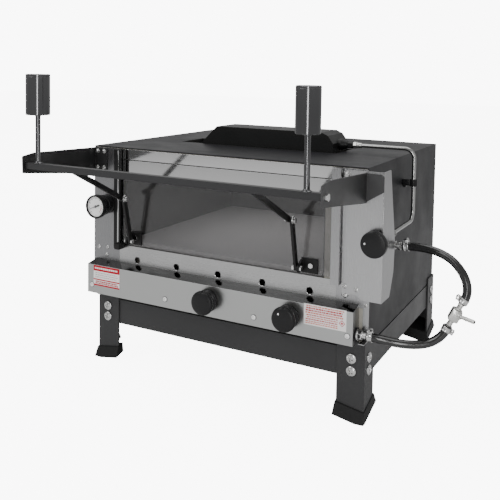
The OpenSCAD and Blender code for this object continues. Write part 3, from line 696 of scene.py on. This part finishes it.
def make_weight(name, node, side, radius, low, high):
    """A turned counterweight between two heights, on its rod."""
    made = Piece(name)
    foot = WEIGHT_FOOT
    rise = high - low
    made.turned(facing((side * WEIGHT_X, WEIGHT_Y, 0), UP), [
        (0, foot), (8.6, foot), (8.6, foot + 0.6), (5.6, foot + 2.6), (4.9, foot + 4.0),
        (4.9, low - 3.0), (5.6, low - 2.4), (5.6, low - 0.4), (radius - 1.2, low), (radius, low + 1.2),
        (radius, low + rise * 0.93), (radius - 0.35, low + rise * 0.935), (radius, low + rise * 0.94),
        (radius, high - 1.4), (radius - 1.6, high), (4.0, high), (3.4, high - 1.6), (0, high - 2.0)],
        "gunmetal", 96)
    made.finish("lift_frame", "bar_paint", node)


make_weight("weight_left_turned", "counterweight_left", -1, 22.5, 534, 611)
make_weight("weight_right_turned", "counterweight_right", 1, 20.0, 530, 604)

# ---- screws and bolts ----


def hex_head(made, at, direction, radius, height, spin):
    """A chamfered hexagon head on a round washer; its radius is taken to the corners."""
    place = facing(at, direction, spin)
    made.turned(place, [
        (0, 0), (radius * 1.25, 0), (radius * 1.3, 0.3), (radius * 1.25, 0.9), (0, 0.9)], "zinc", 28)
    made.turned(place, [
        (0, 0.5), (radius, 0.5), (radius, height * 0.8), (radius * 0.88, height), (0, height)], "zinc", 6)
    made.turned(place, [
        (0, height - 0.2), (radius * 0.72, height - 0.2), (radius * 0.66, height + 0.35),
        (0, height + 0.4)], "zinc", 24)


# the dome as shares of the head's radius, and the cross: its arms' half width and reach, and its depth
DOME_SHARES = (1.0, 1.0, 0.97, 0.9, 0.8, 0.7, 0.62, 0.54, 0.48, 0.42, 0.36, 0.30, 0.24, 0.18, 0.12, 0.06)
DOME_STEPS = 48
CROSS_HALF = 0.13
CROSS_REACH = 0.55
CROSS_DEPTH = 0.55


def cross_head(made, at, direction, radius, height, look="zinc", spin=0.0):
    """A domed head with a cross recess pressed into it."""
    place = facing(at, direction, spin)
    index = made.slot_of(look)
    rings = []
    for k, share in enumerate(DOME_SHARES):
        ring = []
        for step in range(DOME_STEPS):
            angle = math.tau * step / DOME_STEPS
            x, y = share * math.cos(angle), share * math.sin(angle)
            z = 0.0 if k == 0 else height * (0.35 + 0.65 * math.sqrt(max(0.0, 1 - share * share)))
            near, away = sorted((abs(x), abs(y)))
            if k > 1 and near < CROSS_HALF and away < CROSS_REACH:
                z -= height * CROSS_DEPTH
            ring.append(made.bm.verts.new(place @ Vector((x * radius, y * radius, z))))
        rings.append(ring)
    for low, high in zip(rings, rings[1:]):
        for step in range(DOME_STEPS):
            after = (step + 1) % DOME_STEPS
            made.bm.faces.new((low[step], low[after], high[after], high[step])).material_index = index
    made.bm.faces.new(rings[-1]).material_index = index
    made.bm.faces.new(list(reversed(rings[0]))).material_index = index


STAND_MID = 9.0
STAND_HALF = 298.0
LEG_BOLT = (9.5, 4.6)
FACE_SCREW = (4.2, 2.2)


def make_leg_bolts():
    """Two bolts through each of the two faces of every leg."""
    made = Piece("leg_bolt_heads")
    turned = random.Random(5)
    for side in (1, -1):
        for front in (1, -1):
            for z in (90, 113):
                x = STAND_MID + side * (STAND_HALF - 22)
                cross_head(made, (x, -248 * front, z), (0, -front, 0), *LEG_BOLT,
                           spin=turned.uniform(0, 90))
                x = STAND_MID + side * (STAND_HALF + 3)
                cross_head(made, (x, -227 * front, z), (side, 0, 0), *LEG_BOLT,
                           spin=turned.uniform(0, 90))
    made.finish("frame", "zinc", "leg_bolts")


def make_panel_screws():
    """The front's screws: control box, left column, valve panel and strap, and the arms' bolts."""
    made = Piece("panel_screw_heads")
    turned = random.Random(8)
    for x in (-288, -100, 101, 286):
        # painted shade: a dark disc round each box screw's head
        made.turned(facing((x, BOX_FACE, BOX_SCREWS_HIGH), FRONT), [
            (0, 0), (5.6, 0), (5.6, 0.3), (0, 0.3)], "painted_shade", 28)
        cross_head(made, (x, BOX_FACE - 0.3, BOX_SCREWS_HIGH), FRONT, 4.7, 2.0, "bright_zinc",
                   spin=turned.uniform(0, 90))
    for x, z in ((-293, 238), (-270, 240), (-272, 223)):
        cross_head(made, (x, SILL_FACE, z), FRONT, *FACE_SCREW, spin=turned.uniform(0, 90))
    for x, z in ((270, 243), (292, 240), (271, 226)):
        cross_head(made, (x, PANEL_FACE, z), FRONT, *FACE_SCREW, spin=turned.uniform(0, 90))
    cross_head(made, (309.5, -248.5, 214), FRONT, 3.6, 2.0)
    for x in (-296, -279):
        for z in (412, 446):
            hex_head(made, (x, SILL_FACE - 3, z), FRONT, 3.9, 3.6, turned.uniform(0, 60))
    hex_head(made, (270.5, PANEL_FACE, 443), FRONT, 5.0, 4.2, 12)
    made.finish("frame", "zinc", "panel_screws")


def make_link_heads():
    """Zinc bolt heads at the elbows, one on each link."""
    for name, body, x in (("elbow_head_left", "left_link", -190), ("elbow_head_right", "right_link", 183)):
        made = Piece(name)
        hex_head(made, (x + 5, -297, 361), RIGHT, 5.9, 4.9, 10)
        made.finish(body, "zinc")


make_leg_bolts()
make_panel_screws()
make_link_heads()

# ---- labels ----


def make_label(name, low, high, rows, seed, diamond=False):
    """A sticker on the control box, without lettering: rows of (top, bottom, ink, in dashes)."""
    face = BOX_FACE
    made = Piece(name)
    made.box((low[0], face - 0.3, low[1]), (high[0], face, high[1]), "paper", 0.12)
    width, height = high[0] - low[0], high[1] - low[1]
    chance = random.Random(seed)
    for top, bottom, ink, broken in rows:
        z1, z2 = high[1] - bottom * height, high[1] - top * height
        if not broken:
            made.box((low[0] + 0.1, face - 0.36, z1), (high[0] - 0.1, face - 0.28, z2), ink, 0)
            continue
        x = low[0] + chance.uniform(0.04, 0.09) * width
        end = high[0] - (0.20 if diamond and bottom > 0.45 else chance.uniform(0.04, 0.12)) * width
        while x < end:
            dash = chance.uniform(1.6, 5.5)
            made.box((x, face - 0.42, z1), (min(x + dash, end), face - 0.28, z2), ink, 0)
            x += dash + chance.uniform(0.7, 1.3)
    if diamond:
        turn = turned_about_y((high[0] - 8.0, face - 0.3, low[1] + 0.36 * height), 45)
        made.box((-4.2, -0.12, -4.2), (4.2, 0.02, 4.2), "red_ink", 0, turn)
        made.box((-3.2, -0.2, -3.2), (3.2, 0.02, 3.2), "paper", 0, turn)
        made.box((-1.7, -0.28, -1.7), (1.7, 0.02, 1.7), "red_ink", 0, turn)
    made.finish("frame", "stainless")


make_label("label_left", (-284, 163), (-215, 206), [
    (0.0, 0.27, "red_ink", False), (0.09, 0.17, "paper", True), (0.34, 0.38, "grey_ink", True),
    (0.44, 0.48, "grey_ink", True), (0.54, 0.58, "grey_ink", True), (0.66, 0.72, "red_ink", False),
    (0.76, 0.82, "red_ink", True), (0.85, 0.90, "red_ink", True), (0.93, 1.0, "red_ink", False)], 3)
make_label("label_right", (203, 170), (284, 208), [
    (0.05, 0.11, "pale_ink", True), (0.15, 0.22, "red_ink", True), (0.26, 0.33, "red_ink", True),
    (0.37, 0.44, "pale_ink", True), (0.49, 0.54, "red_ink", True), (0.59, 0.64, "pale_ink", True),
    (0.69, 0.74, "red_ink", True), (0.79, 0.84, "pale_ink", True), (0.88, 0.93, "pale_ink", True)], 7, True)

# ---- trims and small fittings ----


def make_hole_rings():
    """The rolled edges of the sill's five air holes."""
    made = Piece("sill_hole_rims")
    for x in (-191, -93, 5, 103, 201):
        made.turned(facing((x, SILL_FACE, 222), FRONT), [
            (6.4, -1.5), (7.9, -0.2), (7.7, 0.35), (7.0, 0.6), (6.5, 0.3), (6.3, -0.6), (6.4, -1.5)],
            "steel_polished")
    made.finish("frame", "stainless")


def make_guide_trim():
    """The bright edge strip and the black stop of the left guide."""
    trim = Piece("left_guide_strip")
    trim.box((-232.6, -262.7, 258), (-229.4, -261.8, 452), "steel_polished", 0.3)
    trim.finish("frame", "stainless")
    stop = Piece("left_guide_stop")
    stop.box((-236.5, -268, 244), (-223.5, -247.2, 256), "shoe_rubber", 1.2)
    stop.finish("frame", "rubber")


def make_front_lines():
    """Painted shade in the seam across the header, and painted highlights along the valve panel's edges."""
    seam = Piece("header_seam_shade")
    seam.box((-231.8, HEADER_FACE, SEAM_HIGH - 0.7), (251.8, HEADER_FACE + 0.7, SEAM_HIGH + 0.7),
             "painted_shade", 0.05)
    seam.finish("frame", "stainless")
    edge = Piece("panel_edge_highlights")
    # painted highlights: bright strips along the panel's two edges
    edge.box((336.6, -251.25, 224), (337.5, -250.4, 448), "steel_polished", 0.2)
    edge.box((264.2, -251.25, 224), (265.4, -250.4, 450), "zinc", 0.2)
    edge.finish("frame", "stainless")


def chamfered(radius, height):
    """The profile of a nut whose two ends are chamfered by a millimetre."""
    return [(0, 0), (radius - 1, 0), (radius, 1), (radius, height - 1), (radius - 1, height), (0, height)]


def make_tube_fittings():
    """The gas tube's nut and its clip on the casing."""
    nut = Piece("tube_nut")
    nut.turned(facing((199.5, -25, 471), RIGHT), chamfered(7.6, 8.0), "nickel", 6)
    nut.turned(facing((207, -25, 471), RIGHT), [
        (0, 0), (5.6, 0), (5.6, 8.0), (4.8, 10.0), (4.1, 11.0), (0, 11.0)], "nickel", 28)
    nut.finish("frame", "nickel")
    clip = Piece("tube_saddle")
    clip.turned(facing((328, -25, 396), UP), [
        (4.1, 0), (6.8, 0), (7.8, 0.8), (7.8, 13.2), (6.8, 14), (4.1, 14), (4.1, 0)], "plastic", 36)
    clip.box((307.2, -31, 397), (324, -19, 409), "plastic", 1.6)
    clip.turned(facing((306.8, -17, 398.6), RIGHT), [
        (0, 0), (7.4, 0), (7.4, 3.2), (6.4, 4.6), (3.0, 5.2), (0, 5.2)], "plastic", 28)
    clip.finish("frame", "black_plastic", "tube_clip")


def make_valve_nuts():
    """The side valve's nuts, and the control box's inlet for the lower hose."""
    valve = Piece("valve_nuts")
    valve.turned(facing((331, -172, 309), RIGHT), chamfered(9.2, 7.0), "dark_nickel", 6)
    valve.turned(facing((343, -172, 309), RIGHT), [
        (0, 0), (7.2, 0), (7.8, 0.6), (7.8, 4.2), (7.0, 5.0), (0, 5.0)], "dark_nickel", 32)
    valve.turned(facing((328, -170, 328), BACK), chamfered(8.4, 9.0), "dark_nickel", 6)
    valve.finish("frame", "nickel")
    inlet = Piece("box_inlet_nut")
    inlet.turned(facing((296.2, -259, 163), RIGHT), [
        (0, 0), (11.0, 0), (11.6, 0.6), (11.6, 2.0), (10.6, 2.6), (0, 2.6)], "plastic", 36)
    inlet.turned(facing((298.8, -259, 163), RIGHT), chamfered(10.0, 7.6), "plastic", 6)
    inlet.finish("frame", "black_plastic")


def make_slot_pan():
    """A black sheet under the roof slot, beside the top burner: painted shade that darkens the opening."""
    pan = Piece("roof_slot_shade_sheet")
    pan.box((-199.5, -71.5, 440), (-147.8, 21.5, 443), "slot_shade", 0.3)
    pan.box((170.5, -71.5, 440), (179.5, 21.5, 443), "slot_shade", 0.3)
    pan.box((-199.8, -71.8, 440), (-199.0, 21.8, 456.8), "slot_shade", 0.1)
    pan.box((-199.5, 20.9, 440), (179.5, 21.8, 456.8), "slot_shade", 0.1)
    pan.box((-199.5, -71.8, 440), (179.5, -70.9, 456.8), "slot_shade", 0.1)
    pan.finish("frame", "black_paint")


make_hole_rings()
make_guide_trim()
make_front_lines()
make_tube_fittings()
make_valve_nuts()
make_slot_pan()

# ---- floor and light ----

FLOOR_HALF = 12.0
FLOOR_SHOWN = 8.0
WORLD_SHOWN = 9.0
WORLD_LIGHT = 0.6


def seen_only(tree, shown, others):
    """A strength that is shown to the view alone and others to the object."""
    path = tree.nodes.new("ShaderNodeLightPath")
    mix = tree.nodes.new("ShaderNodeMapRange")
    mix.inputs["To Min"].default_value = others
    mix.inputs["To Max"].default_value = shown
    tree.links.new(path.outputs["Is Camera Ray"], mix.inputs["Value"])
    return mix.outputs["Result"]


def add_floor():
    mesh = bpy.data.meshes.new("floor")
    half = FLOOR_HALF
    corners = [(-half, -half, 0), (half, -half, 0), (half, half, 0), (-half, half, 0)]
    mesh.from_pydata(corners, [], [(0, 1, 2, 3)])
    floor = bpy.data.objects.new("floor", mesh)
    bpy.context.collection.objects.link(floor)
    look = Look("floor_white", (0.85, 0.85, 0.85), roughness=0.9)
    look.vary_colour(look.noise(2.0), 0.99, 1.0)
    look.shader.inputs["Emission Color"].default_value = (1.0, 1.0, 1.0, 1.0)
    look.link(seen_only(look.tree, FLOOR_SHOWN, 0.0), look.shader.inputs["Emission Strength"])
    mesh.materials.append(look.material)


def add_area(name, at, aim, size, power, hidden=False):
    """A rectangular lamp in watts and metres; a hidden one lights the object but isn't seen."""
    data = bpy.data.lights.new(name, "AREA")
    data.shape = "RECTANGLE"
    data.size, data.size_y = size
    data.energy = power
    lamp = bpy.data.objects.new(name, data)
    lamp.location = at
    lamp.rotation_euler = (Vector(aim) - Vector(at)).to_track_quat("-Z", "Y").to_euler()
    lamp.visible_camera = not hidden
    bpy.context.collection.objects.link(lamp)


def add_world():
    world = bpy.data.worlds.new("studio")
    world.use_nodes = True
    background = world.node_tree.nodes["Background"]
    background.inputs["Color"].default_value = (1.0, 1.0, 1.0, 1.0)
    strength = seen_only(world.node_tree, WORLD_SHOWN, WORLD_LIGHT)
    world.node_tree.links.new(strength, background.inputs["Strength"])
    bpy.context.scene.world = world


add_floor()
add_world()
add_area("key", (-1.6, -2.2, 2.6), (0, 0, 0.3), (1.8, 1.8), 48)
add_area("fill", (2.6, -1.4, 1.4), (0, 0, 0.3), (1.5, 1.5), 5)
add_area("top", (0.0, 0.3, 2.8), (0, 0, 0.3), (2.2, 2.2), 32)
add_area("strip", (0.70, -1.66, 0.62), (0.0, -0.40, 0.57), (0.17, 1.0), 7, hidden=True)
add_area("chamber", (0.0, -0.02, 0.418), (0.0, -0.02, 0.0), (0.30, 0.34), 0.42, hidden=True)
